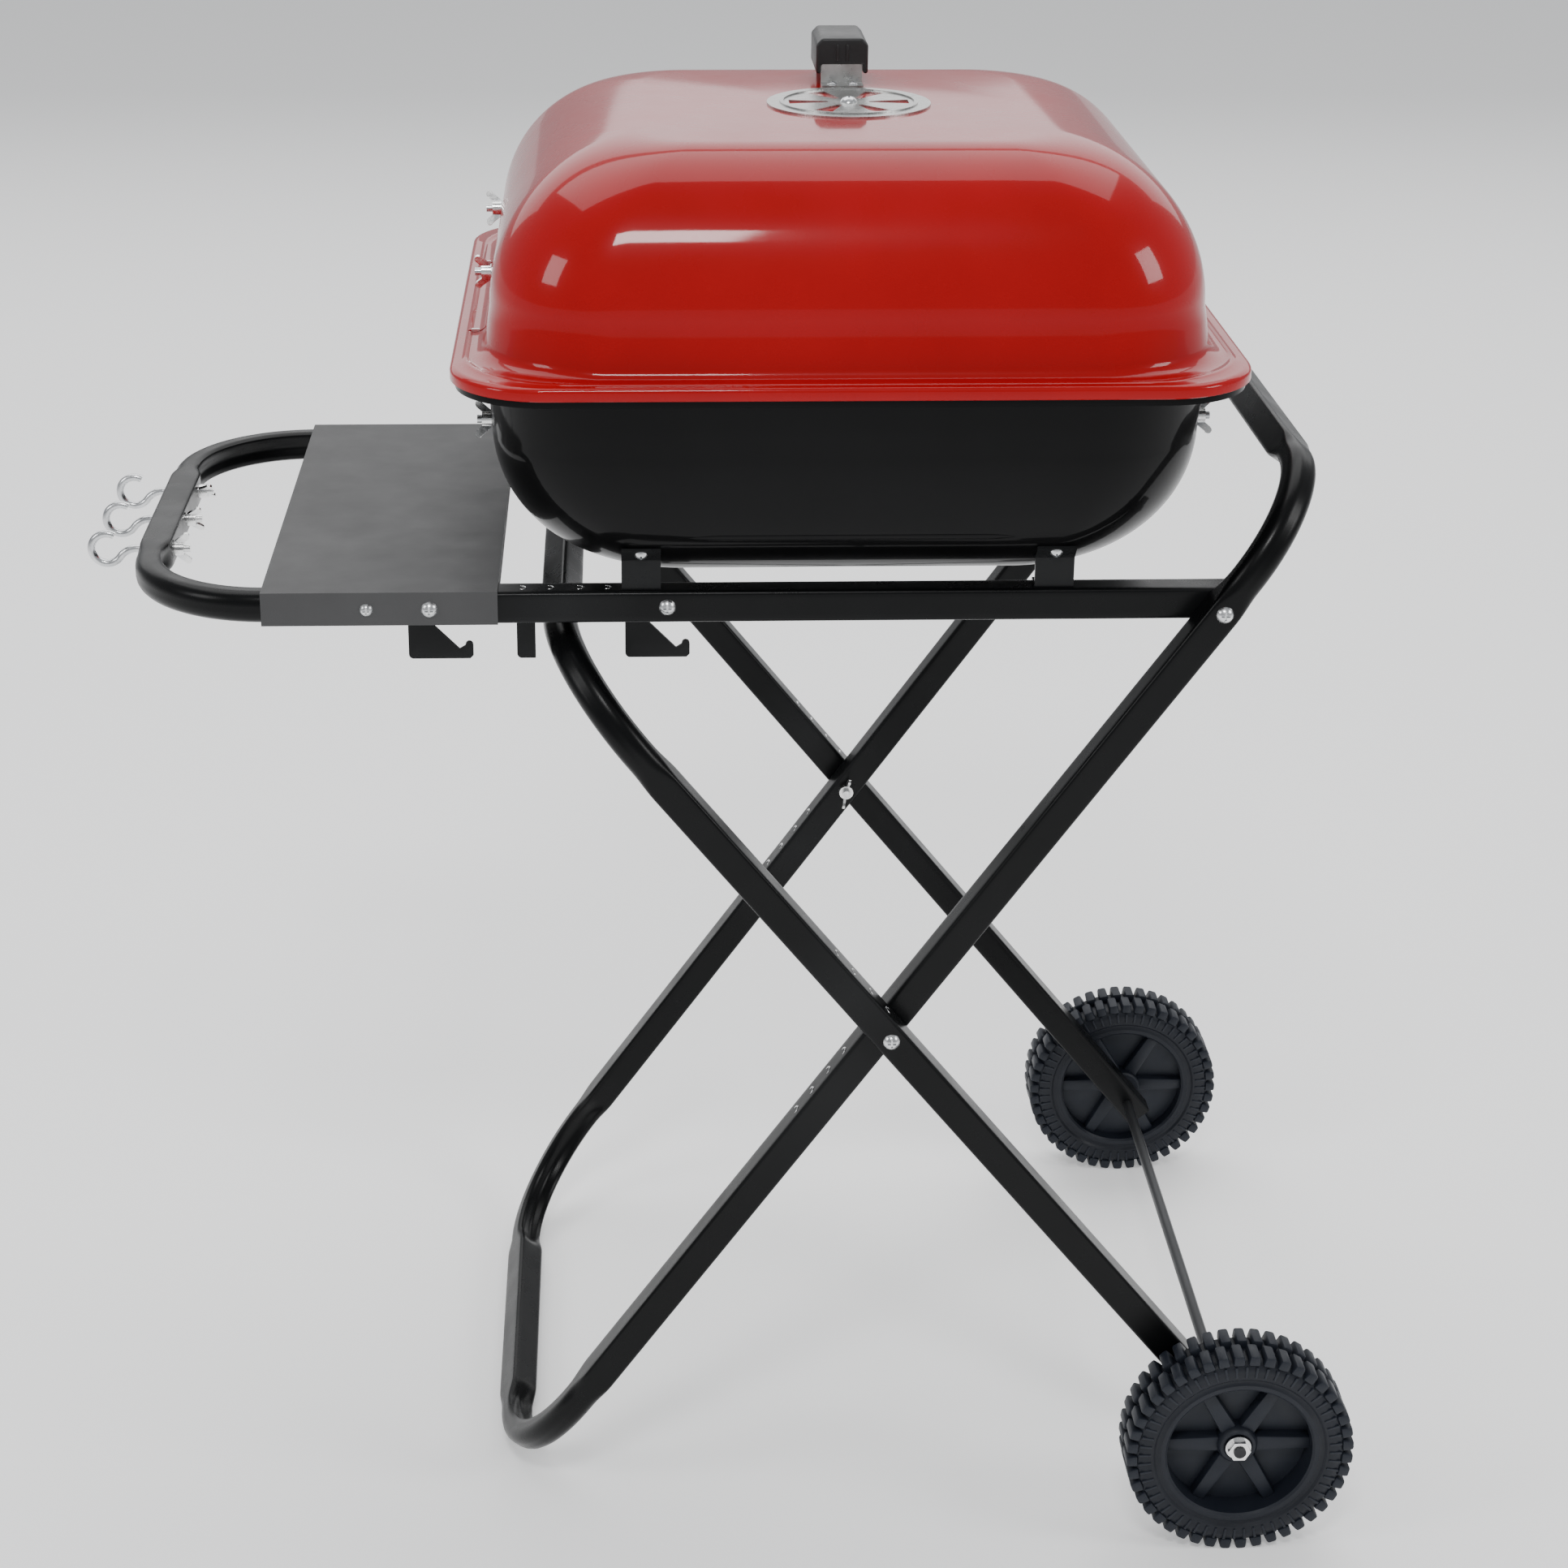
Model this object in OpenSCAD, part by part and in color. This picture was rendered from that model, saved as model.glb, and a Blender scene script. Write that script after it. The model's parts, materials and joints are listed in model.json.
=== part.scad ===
// Charcoal grill: an enamelled rectangular kettle on a folding X-leg trolley.
// Millimetres. +X runs from the side shelf to the handle end, +Y to the rear, +Z up.
// Origin: centre of the footprint, on the floor.

/* [Tube] */
// Outside width of the square tube
tube = 20; // [20:1:20]
// Wall thickness of the square tube
wall = 1.5; // [1.2:0.1:2]
// Half of the rail spacing, centre to centre
rail_y = 171; // [168:1:174]
// Washer gap between neighbouring tubes
tube_gap = 1; // [1:0.5:1.5]

/* [Legs] */
// Deck pivot, along X
pivot_x = 300; // [298:1:302]
// Deck pivot, height above the floor
pivot_z = 638; // [638:1:642]
// Crossing bolt of the legs, along X
cross_x = 102; // [100:1:104]
// Crossing bolt of the legs, height above the floor
cross_z = 360; // [358:1:362]
// Axle, along X
axle_x = 335; // [333:1:337]
// Centreline radius of the big tube bends
bend_r = 80; // [70:1:85]
// Distance of the handle bar beyond the deck pivot
handle_reach = 92; // [88:1:96]

/* [Wheels] */
// Wheel diameter over the lugs
wheel_d = 150; // [148:1:152]
// Wheel width
wheel_w = 36; // [34:1:38]
// Number of lugs around each row
lugs = 44; // [36:2:48]

/* [Deck] */
// Outer end of the shelf loop, along X
loop_x = -374; // [-376:1:-372]
// Left and right ends of the shelf plate, along X
shelf_x = [-286, -142];
// Spacing of the three rack teeth, along X
tooth_pitch = 67; // [66:0.5:67]
// Depth of a rack tooth below the rail
tooth_drop = 29.7; // [28:0.1:30]
// Spacing of the tool hooks
hook_pitch = 61; // [55:1:65]

/* [Kettle] */
// Centre of the kettle, along X
kettle_x = 72; // [71:1:73]
// Half length and half depth of the lid flange
flange_half = [240, 224];
// Corner radius of the flange
flange_r = 58; // [50:1:62]
// Half length and half depth of the pan at its mouth
pan_half = [220, 205];
// Top face of the lid flange, height above the floor
flange_z = 788; // [786:1:790]
// Top of the lid, height above the floor
lid_top_z = 912; // [908:1:916]
// Underside of the bowl, height above the floor
bowl_bottom_z = 651; // [650:1:653]
// Sheet thickness of the lid and bowl
sheet = 1.5; // [1.2:0.1:2]
// Distance of the vent and handle from the lid's centre
vent_shift = 8; // [0:1:10]
// Radius of the lid vent disc
vent_r = 52; // [48:1:54]

/* [Hidden] */
$fn = 48;

eps = 0.01;
fit = 0.05;             // running clearance of a bolt in its hole
touch = 0.05;           // clearance at each face of a washer between moving tubes
leg_a_y = rail_y + tube + tube_gap;
leg_b_y = leg_a_y + tube + tube_gap;
rail_z = pivot_z;
rail_top = rail_z + tube / 2;
rail_bottom = rail_z - tube / 2;

// Leg A runs from the foot, through the crossing, to the handle. Its frame has +X up the leg.
a_dx = pivot_x - cross_x;
a_dz = pivot_z - cross_z;
a_angle = atan2(a_dz, a_dx);
a_pivot = norm([a_dx, a_dz]);
a_half_diag = tube / 2 * (abs(cos(a_angle)) + abs(sin(a_angle)));
a_foot = -(cross_z - a_half_diag) / sin(a_angle);
a_handle = a_pivot + handle_reach;
a_seam = -61;
handle_bend_r = 70;

// Leg B runs from the axle, through the crossing, to the crossbar under the rails.
axle_z = wheel_d / 2;
b_dx = cross_x - axle_x;
b_dz = cross_z - axle_z;
b_angle = atan2(b_dz, b_dx);
b_axle = -norm([b_dx, b_dz]);
b_half_diag = tube / 2 * (abs(cos(b_angle)) + abs(sin(b_angle)));
b_bar = (rail_bottom - 1 - b_half_diag - cross_z) / sin(b_angle);
b_bar_x = cross_x + b_bar * cos(b_angle);
b_seam = 40;
b_overhang = 16;        // tube left beyond the axle

deck_seam = -102;
rail_end = pivot_x + 14;
sleeve_half = 33;
sleeve_gap = 0.1;
crimps = [-26, -9, 9, 26];

bolt_r = 3;
small_bolt_r = 2.5;
screw_r = 2;
axle_r = 4;
bar_gap = 1.1;          // room between a rack arm and the crossbar's corner
arm_w = 11.5;
rack_t = 2.5;
tooth_x = b_bar_x - b_half_diag - bar_gap - arm_w - tooth_pitch;

fillet = [95, 66, 90];  // pan edge radii along X, Y and Z
pan_draft = 3;          // inward lean of the pan walls
pan_corner = 75;
lid_fillet = [95, 82, 95];
pan_slices = 8;
lip = 8;                // folded edge of the lid flange
lip_gap = 1.5;          // room between the two flanges' edges
seat_gap = 0.3;
bowl_flange_z = flange_z - sheet - seat_gap;
bowl_lip = 11;
bracket_x = [kettle_x - 126.5, kettle_x + 126.5];
vent_x = kettle_x + vent_shift;
vents = 6;
rest_y = 122;
rest_z = [766, 741];    // wing bolts of the cooking and charcoal grate rests
hinge_y = 91;
hinge_x = kettle_x - flange_half[0];
hinge_bolt_z = 826;
damper_r = 44;
bowl_mouth_z = bowl_flange_z - sheet / 2;
rest_inset = 3.1;       // outside of the bowl wall to the back of a grate rest
rest_t = 1.5;
rest_w = 20;
grate_r = 60;

wheel_y = leg_b_y + tube / 2 + 6;       // inner face of a wheel
hub_len = wheel_w - 9;
nut_y = wheel_y + hub_len + 0.3;

shelf_screw_x = deck_seam - 120;
rack_bolt_x = [deck_seam - 81.7, deck_seam + 63.4];
shelf_t = 1.2;

hook_rod = 2.5;
hook_r = 10;
hook_start = -35;       // where the ring passes into the return bend, degrees
hook_sweep = 265;
hook_return_r = -hook_r * sin(hook_start) / (1 + sin(hook_start));

bracket_w = 24;
bracket_t = 2;
bracket_screw_y = rail_y - 2.5;
bracket_slices = [4, 5];                // slices of the bowl edge that a bracket lies between

hook_stem = [10, 15];                   // inner and outer X of a hinge hook, from the hinge line
hook_foot = [19.2, 20.6];               // the same for its foot on the bowl wall
hook_drop = 22;                         // foot's lower end below the bowl flange
lid_wall = pan_half[0] - 4.2;           // outside of the lid wall at the hinge plate bolts
plate_inset = 3.3;                      // from there to the outer face of a hinge plate

strap_y = [66, 112];                    // the two uprights of the handle strap
strap_w = 27;
strap_t = 2;
strap_h = 14;
strap_foot = 13;
rivet_y = strap_y[0] - 8;
grip_y = (strap_y[0] + strap_t + strap_y[1]) / 2;
strap_rivet_x = [-6.5, 6.5];
grip_size = [34, 56, 17];
grip_skirt = 6;                         // how far the grip hangs below the strap's bridge

// ---- small helpers ----

// A shape and its mirror image across the XZ plane
module both_sides() {
    children();
    mirror([0, 1, 0]) children();
}

// Places +Z of the children along -Y, on the front side
module facing_front(x, y, z) {
    translate([x, -y, z]) rotate([90, 0, 0]) children();
}

module on_leg_a() {
    translate([cross_x, 0, cross_z]) rotate([0, -a_angle, 0]) children();
}

module on_leg_b() {
    translate([cross_x, 0, cross_z]) rotate([0, -b_angle, 0]) children();
}

module bar_x(x0, x1, w) {
    translate([x0, -w / 2, -w / 2]) cube([x1 - x0, w, w]);
}

// Square tube along X
module tube_x(x0, x1, w = tube, t = wall) {
    difference() {
        bar_x(x0, x1, w);
        bar_x(x0 - 1, x1 + 1, w - 2 * t);
    }
}

// Solid U of square bar: a crossbar at x_bar, two bends and two arms that end at x_end
module u_bar(x_bar, x_end, half_y, r, w) {
    s = x_bar > x_end ? 1 : -1;
    x_bend = x_bar - s * r;
    translate([x_bar - w / 2, -(half_y - r), -w / 2]) cube([w, 2 * (half_y - r), w]);
    both_sides() {
        translate([min(x_bend, x_end), half_y - w / 2, -w / 2])
            cube([abs(x_bend - x_end), w, w]);
        translate([x_bend, half_y - r, 0])
            rotate([0, 0, s > 0 ? 0 : 90])
                rotate_extrude(angle = 90) translate([r - w / 2, -w / 2]) square(w);
    }
}

module u_tube(x_bar, x_end, half_y, r) {
    s = x_bar > x_end ? 1 : -1;
    difference() {
        u_bar(x_bar, x_end, half_y, r, tube);
        u_bar(x_bar, x_end - s, half_y, r, tube - 2 * wall);
    }
}

// Shallow punched dimples on one face of both tubes of a pair
module crimp_marks(seam, half_y, face) {
    both_sides()
        for (c = crimps)
            translate([seam + c, half_y, face * (tube / 2 + 3)]) sphere(r = 4);
}

// Holes through both arms of a pair, along Y
module cross_holes(x, half_y, r) {
    both_sides()
        translate([x, half_y + tube, 0]) rotate([90, 0, 0]) cylinder(r = r, h = 2 * tube);
}

// Pan-head bolt: head above z = 0, shank below, crossed drive recess
module pan_bolt(r, head_r, head_h, len) {
    dome = (head_r * head_r + head_h * head_h) / (2 * head_h);
    difference() {
        union() {
            intersection() {
                translate([0, 0, head_h - dome]) sphere(r = dome);
                cylinder(r = head_r + 1, h = head_h);
            }
            translate([0, 0, -len]) cylinder(r = r, h = len + eps);
        }
        for (a = [0, 90])
            rotate([0, 0, a]) translate([-head_r * 0.5, -0.6, head_h * 0.5])
                cube([head_r, 1.2, head_h]);
    }
}

module hex_nut(r, flat, h) {
    difference() {
        cylinder(r = flat / sqrt(3), h = h, $fn = 6);
        translate([0, 0, -1]) cylinder(r = r + fit, h = h + 2);
    }
}

module washer(r, outer, h) {
    difference() {
        cylinder(r = outer, h = h);
        translate([0, 0, -1]) cylinder(r = r + fit, h = h + 2);
    }
}

// Wing nut standing on z = 0
module wing_nut(r) {
    difference() {
        union() {
            cylinder(r = r + 2.2, h = 6);
            for (a = [0, 180])
                rotate([0, 0, a]) rotate([90, 0, 0]) translate([0, 0, -0.9]) linear_extrude(1.8) {
                    polygon([[r + 1, 0.5], [r + 3, 0.5], [r + 8.5, 7], [r + 5, 9.5], [r + 1, 5]]);
                    translate([r + 6.8, 8]) circle(r = 2.2);
                }
        }
        translate([0, 0, -1]) cylinder(r = r + fit, h = 8);
    }
}

// Rounded rectangle, centred
module round_rect(half, r) {
    square([2 * half[0], 2 * (half[1] - r)], center = true);
    square([2 * (half[0] - r), 2 * half[1]], center = true);
    for (sx = [-1, 1], sy = [-1, 1])
        translate([sx * (half[0] - r), sy * (half[1] - r)]) circle(r = r);
}

// Thin level outline of four discs, one slice of a pan
module pan_slice(half, r, z) {
    for (sx = [-1, 1], sy = [-1, 1])
        translate([sx * (half[0] - r), sy * (half[1] - r), z]) cylinder(r = r, h = 0.02);
}

// Solid pan, mouth at z = 0 and crown at z = depth, shrunk by inset on every face
module pan_solid(depth, edge, inset) {
    hull() {
        pan_slice(pan_half - [inset, inset], pan_corner - inset, 0);
        for (i = [0:pan_slices]) {
            t = 90 * i / pan_slices;
            cut = 1 - cos(t);
            lean = pan_draft + inset;
            half = pan_half - [lean + edge[0] * cut, lean + edge[1] * cut];
            z = depth - inset - edge[2] * (1 - sin(t));
            pan_slice(half, pan_corner - inset - 40 * cut, z - 0.02);
        }
    }
}

// Thin-walled pan
module pan_shell(depth, edge) {
    difference() {
        pan_solid(depth, edge, 0);
        translate([0, 0, -0.05]) pan_solid(depth + 0.05, edge, sheet);
    }
}

// Level flange with a folded edge that hangs down from z = 0. Its hole lies inside the pan's wall.
module flange(half, r, edge) {
    inner = pan_half - [sheet / 2, sheet / 2];
    translate([0, 0, -sheet]) linear_extrude(sheet) difference() {
        round_rect(half, r);
        round_rect(inner, pan_corner - sheet / 2);
    }
    translate([0, 0, -edge]) linear_extrude(edge - sheet + eps) difference() {
        round_rect(half, r);
        round_rect(half - [sheet, sheet], r - sheet);
    }
}

// Wedge-shaped draught slots around +Z
module draught_slots(r_in, r_out, h) {
    for (k = [0:vents - 1])
        rotate([0, 0, k * 360 / vents]) linear_extrude(h)
            polygon([
                [r_in, -1.5], [r_out, -r_out * sin(10)],
                [r_out, r_out * sin(10)], [r_in, 1.5]
            ]);
}

// ---- leg A ----

module foot_frame() {
    color("#16181a") on_leg_a() difference() {
        u_tube(a_foot, a_seam, leg_a_y, bend_r);
        crimp_marks(a_seam, leg_a_y, 1);
    }
}

module handle_frame() {
    color("#16181a") on_leg_a() difference() {
        u_tube(a_handle, a_seam, leg_a_y, handle_bend_r);
        crimp_marks(a_seam, leg_a_y, 1);
        cross_holes(0, leg_a_y, bolt_r + fit);
        cross_holes(a_pivot, leg_a_y, bolt_r + fit);
    }
}

// Stubs that join two lengths of tube
module sleeve_pair(seam, half_y) {
    both_sides()
        translate([0, half_y, 0])
            tube_x(seam - sleeve_half, seam + sleeve_half, tube - 2 * wall - 2 * sleeve_gap);
}

module leg_a_sleeves() {
    color("#2a2c2e") on_leg_a() difference() {
        sleeve_pair(a_seam, leg_a_y);
        crimp_marks(a_seam, leg_a_y, 1);
    }
}

module deck_pivot_bolts() {
    color("#c9cbcd") both_sides()
        facing_front(pivot_x, leg_a_y + tube / 2, pivot_z)
            pan_bolt(bolt_r, 5.4, 3.4, 2 * tube + tube_gap + 8);
}

module deck_pivot_nuts() {
    color("#b9bbbd") both_sides()
        facing_front(pivot_x, rail_y - tube / 2 - touch, pivot_z)
            mirror([0, 0, 1]) hex_nut(bolt_r, 10, 5);
}

module deck_spacers() {
    color("#b9bbbd") both_sides()
        facing_front(pivot_x, rail_y + tube / 2 + touch, pivot_z)
            washer(bolt_r, 8, tube_gap - 2 * touch);
}

module leg_pivot_bolts() {
    color("#c9cbcd") both_sides()
        facing_front(cross_x, leg_b_y + tube / 2 + touch, cross_z)
            pan_bolt(bolt_r, 5.4, 3.4, 2 * tube + tube_gap + 10);
}

module leg_pivot_wing_nuts() {
    color("#c9cbcd") both_sides()
        facing_front(cross_x, leg_a_y - tube / 2, cross_z)
            mirror([0, 0, 1]) rotate([0, 0, 78]) wing_nut(bolt_r);
}

module leg_spacers() {
    color("#b9bbbd") both_sides()
        facing_front(cross_x, leg_a_y + tube / 2 + touch, cross_z)
            washer(bolt_r, 8, tube_gap - 2 * touch);
}

// ---- leg B ----

module wheel_frame_top() {
    color("#16181a") on_leg_b() difference() {
        u_tube(b_bar, b_seam, leg_b_y, bend_r);
        crimp_marks(b_seam, leg_b_y, -1);
    }
}

// Straight lower tube on the rear side; the front one is its mirror image
module wheel_leg() {
    on_leg_b() difference() {
        translate([0, leg_b_y, 0]) tube_x(b_axle - b_overhang, b_seam);
        crimp_marks(b_seam, leg_b_y, -1);
        cross_holes(0, leg_b_y, bolt_r + fit);
        cross_holes(b_axle, leg_b_y, axle_r + fit);
    }
}

module wheel_leg_front() {
    color("#16181a") mirror([0, 1, 0]) wheel_leg();
}

module wheel_leg_rear() {
    color("#16181a") wheel_leg();
}

module leg_b_sleeves() {
    color("#2a2c2e") on_leg_b() difference() {
        sleeve_pair(b_seam, leg_b_y);
        crimp_marks(b_seam, leg_b_y, -1);
    }
}

module axle() {
    color("#3a3c3e") translate([axle_x, nut_y + 7, axle_z])
        rotate([90, 0, 0]) cylinder(r = axle_r, h = 2 * (nut_y + 7));
}

module axle_spacers() {
    color("#2a2c2e") both_sides()
        facing_front(axle_x, leg_b_y + tube / 2, axle_z) washer(axle_r, 9, 5.7);
}

module axle_nuts() {
    color("#c9cbcd") both_sides()
        facing_front(axle_x, nut_y, axle_z) {
            washer(axle_r, 8.5, 1.2);
            translate([0, 0, 1.2]) hex_nut(axle_r, 13, 4.5);
        }
}

// Ring of square-shouldered lugs, as one toothed outline
function lug_outline(r_in, r_out, phase) = [
    for (k = [0:lugs - 1], q = [0:3])
        let (
            a = (k + phase + [0, 0.06, 0.52, 0.58][q]) * 360 / lugs,
            r = (q == 1 || q == 2) ? r_out : r_in
        )
        [r * cos(a), r * sin(a)]
];

// Moulded wheel, axis +Z, inner face at z = 0
module wheel() {
    r_out = wheel_d / 2;
    r_body = r_out - 5;
    r_rim = r_out - 27;
    mid = wheel_w / 2;
    groove = 3;
    difference() {
        union() {
            rotate_extrude() polygon([
                [r_rim, 2], [r_rim + 5, 2], [r_rim + 7, 0.5], [r_body - 5, 0.5], [r_body, 5],
                [r_body, wheel_w - 5], [r_body - 5, wheel_w - 0.5],
                [r_rim + 7, wheel_w - 0.5], [r_rim + 5, wheel_w - 2], [r_rim, wheel_w - 2]
            ]);
            for (row = [0, 1])
                translate([0, 0, row == 0 ? 0 : mid + groove / 2])
                    linear_extrude(mid - groove / 2) difference() {
                        polygon(lug_outline(r_body - 1, r_out, row / 2));
                        circle(r = r_body - 8);
                    }
            translate([0, 0, mid - 5]) cylinder(r = r_rim + 1, h = 3);
            cylinder(r = 14, h = hub_len);
            for (a = [0:60:300])
                rotate([0, 0, a]) translate([12, -4.5, 6]) cube([r_rim - 11.5, 9, hub_len - 9]);
        }
        translate([0, 0, -1]) cylinder(r = axle_r + fit, h = wheel_w + 2);
    }
}

module front_wheel() {
    color("#1b202b") facing_front(axle_x, wheel_y, axle_z) wheel();
}

module rear_wheel() {
    color("#1b202b") mirror([0, 1, 0]) facing_front(axle_x, wheel_y, axle_z) wheel();
}

// ---- deck ----

module at_deck() {
    translate([0, 0, rail_z]) children();
}

module hook_holes() {
    for (k = [-1:1])
        translate([loop_x - 1, k * hook_pitch, 0]) rotate([0, 90, 0])
            cylinder(r = 2.5 + fit, h = tube + 2);
}

module shelf_screw_holes() {
    cross_holes(shelf_screw_x, rail_y, screw_r + fit);
    cross_holes(rack_bolt_x[0], rail_y, small_bolt_r + fit);
}

module shelf_loop() {
    color("#16181a") at_deck() difference() {
        u_tube(loop_x + tube / 2, deck_seam, rail_y, bend_r);
        crimp_marks(deck_seam, rail_y, 1);
        hook_holes();
        shelf_screw_holes();
    }
}

// Rear rail; the front one is its mirror image
module rail() {
    at_deck() difference() {
        translate([0, rail_y, 0]) tube_x(deck_seam, rail_end);
        crimp_marks(deck_seam, rail_y, 1);
        cross_holes(pivot_x, rail_y, bolt_r + fit);
        cross_holes(rack_bolt_x[1], rail_y, small_bolt_r + fit);
        for (x = bracket_x)
            translate([x, bracket_screw_y, 5]) cylinder(r = screw_r + fit, h = 10);
    }
}

module front_rail() {
    color("#16181a") mirror([0, 1, 0]) rail();
}

module rear_rail() {
    color("#16181a") rail();
}

module deck_sleeves() {
    color("#2a2c2e") at_deck() difference() {
        sleeve_pair(deck_seam, rail_y);
        crimp_marks(deck_seam, rail_y, 1);
    }
}

module side_shelf() {
    len = shelf_x[1] - shelf_x[0];
    edge = rail_y + tube / 2;
    lip_end = edge - tube - rack_t - 1;
    color("#4a4b4d") difference() {
        union() {
            translate([shelf_x[0], -edge - shelf_t, rail_top])
                cube([len, 2 * (edge + shelf_t), shelf_t]);
            both_sides()
                translate([shelf_x[0], edge, rail_bottom]) cube([len, shelf_t, tube + eps]);
            for (x = [shelf_x[0], shelf_x[1] - shelf_t])
                translate([x, -lip_end, rail_top - 10]) cube([shelf_t, 2 * lip_end, 10 + eps]);
        }
        at_deck() shelf_screw_holes();
    }
}

module shelf_screws() {
    color("#c9cbcd") both_sides()
        facing_front(shelf_screw_x, rail_y + tube / 2 + shelf_t, rail_z)
            pan_bolt(screw_r, 4.2, 2.6, tube + 5);
}

// Plate with three hooks under a rail, drawn in the XZ plane
module rack_outline() {
    low = rail_bottom - tooth_drop;
    top = rail_top - 2;
    strip = rail_bottom + 2;
    full_w = 2 * tooth_pitch + 40;
    translate([tooth_x, strip]) square([full_w, top - strip]);
    for (k = [0, 2])
        translate([tooth_x + k * tooth_pitch, low]) {
            polygon([
                [0, 3], [3, 0], [38, 0], [40, 2], [40, 8.5], [35.5, 8.5], [31.5, 6],
                [arm_w, tooth_drop - 3.5], [arm_w, tooth_drop + 3], [0, tooth_drop + 3]
            ]);
            translate([37.5, 8.5]) circle(r = 2.5);
            translate([3, 3]) circle(r = 3);
        }
    translate([tooth_x + tooth_pitch, low]) {
        polygon([[0, 3], [3, 0], [arm_w, 0], [arm_w, tooth_drop + 3], [0, tooth_drop + 3]]);
        translate([3, 3]) circle(r = 3);
    }
}

// Rear rack, against the inner face of the rear rail
module hook_rack() {
    difference() {
        translate([0, rail_y - tube / 2, 0]) rotate([90, 0, 0])
            linear_extrude(rack_t) rack_outline();
        at_deck()
            for (x = rack_bolt_x)
                cross_holes(x, rail_y - tube / 2, small_bolt_r + fit);
    }
}

module front_hook_rack() {
    color("#16181a") mirror([0, 1, 0]) hook_rack();
}

module rear_hook_rack() {
    color("#16181a") hook_rack();
}

module rack_bolts() {
    color("#c9cbcd") both_sides() {
        facing_front(rack_bolt_x[0], rail_y + tube / 2 + shelf_t, rail_z)
            pan_bolt(small_bolt_r, 5.2, 3.2, tube + 9);
        facing_front(rack_bolt_x[1], rail_y + tube / 2, rail_z)
            pan_bolt(small_bolt_r, 5.2, 3.2, tube + 8);
    }
}

module rack_nuts() {
    color("#b9bbbd") both_sides()
        for (x = rack_bolt_x)
            facing_front(x, rail_y - tube / 2 - rack_t, rail_z)
                mirror([0, 0, 1]) hex_nut(small_bolt_r, 8, 4);
}

// Round rod bent through an arc in the XZ plane, centred on the origin
module rod_arc(r, start, sweep) {
    rotate([90, 0, 0]) rotate([0, 0, start])
        rotate_extrude(angle = sweep) translate([r, 0]) circle(r = hook_rod);
}

// Open round hook, a return bend and a straight threaded shank, in the XZ plane
module tool_hook() {
    ring_x = loop_x - 23.5;
    step = hook_r + hook_return_r;
    shank_x = ring_x + step * cos(hook_start);
    translate([ring_x, 0, 0]) rod_arc(hook_r, hook_start - hook_sweep, hook_sweep);
    translate([shank_x, 0, step * sin(hook_start)])
        rod_arc(hook_return_r, 90, 90 + hook_start);
    translate([shank_x, 0, 0]) rotate([0, 90, 0])
        cylinder(r = hook_rod, h = loop_x + tube + 10 - shank_x);
}

module tool_hooks() {
    color("#c9cbcd") at_deck()
        for (k = [-1:1])
            translate([0, k * hook_pitch, 0]) tool_hook();
}

module tool_hook_wing_nuts() {
    color("#c9cbcd") at_deck()
        for (k = [-1:1])
            translate([loop_x + tube, k * hook_pitch, 0])
                rotate([0, 90, 0]) rotate([0, 0, 35 + 20 * k]) wing_nut(hook_rod);
}

// Point on the bowl's lower edge at a slice, as Y and Z
function bowl_edge(i) = [
    pan_half[1] - pan_draft - fillet[1] * (1 - cos(90 * i / pan_slices)),
    bowl_bottom_z + fillet[2] * (1 - sin(90 * i / pan_slices))
];

edge_high = bowl_edge(bracket_slices[0]);
edge_low = bowl_edge(bracket_slices[1]);
edge_angle = atan2(edge_high[1] - edge_low[1], edge_high[0] - edge_low[0]);

// Frame that lies on the bowl's edge, +Y up the slope and +Z into the bowl
module on_bowl_edge() {
    translate([0, edge_low[0], edge_low[1]]) rotate([edge_angle, 0, 0])
        translate([0, 0, -0.3]) children();
}

// Small foot between a rail and the bowl: a tab on the rail, a lug, and a tab under the bowl
module bowl_bracket() {
    lug_y = edge_low[0] + 1.8;
    difference() {
        union() {
            translate([-bracket_w / 2, rail_y - tube / 2 + 2, rail_top])
                cube([bracket_w, lug_y + bracket_t - rail_y + tube / 2 - 2, bracket_t]);
            translate([-bracket_w / 2, lug_y, rail_top])
                cube([bracket_w, bracket_t, edge_low[1] + 1 - rail_top]);
            on_bowl_edge()
                translate([-bracket_w / 2, 2, -bracket_t]) cube([bracket_w, 12, bracket_t]);
        }
        translate([0, bracket_screw_y, rail_top - 1]) cylinder(r = screw_r + fit, h = 5);
        on_bowl_edge() translate([0, 9, -5]) cylinder(r = screw_r + fit, h = 8);
    }
}

module bowl_brackets() {
    color("#16181a")
        for (x = bracket_x)
            both_sides() translate([x, 0, 0]) bowl_bracket();
}

module bracket_screws() {
    color("#c9cbcd")
        for (x = bracket_x)
            both_sides() translate([x, 0, 0]) {
                translate([0, bracket_screw_y, rail_top + bracket_t]) pan_bolt(screw_r, 4, 2.4, 8);
                on_bowl_edge() translate([0, 9, -bracket_t]) mirror([0, 0, 1])
                    pan_bolt(screw_r, 4, 2.4, bracket_t);
            }
}

module bowl() {
    depth = bowl_mouth_z - bowl_bottom_z;
    half = flange_half - [sheet + lip_gap, sheet + lip_gap];
    color("#0c0c0e") difference() {
        translate([kettle_x, 0, 0]) union() {
            translate([0, 0, bowl_mouth_z]) mirror([0, 0, 1]) pan_shell(depth, fillet);
            translate([0, 0, bowl_flange_z]) flange(half, flange_r - 3, bowl_lip);
        }
        translate([kettle_x, 0, bowl_bottom_z - 1]) {
            rotate([0, 0, 30]) draught_slots(12, 36, 4);
            cylinder(r = bolt_r + fit, h = 4);
        }
        for (s = [-1, 1], z = rest_z)
            both_sides()
                translate([kettle_x + s * (pan_half[0] - 12), rest_y, z]) rotate([0, 90, 0])
                    cylinder(r = small_bolt_r + fit, h = 30, center = true);
        both_sides()
            translate([hinge_x + 8, hinge_y - 1.6, bowl_flange_z - 4]) cube([11, 3.2, 8]);
    }
}

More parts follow.
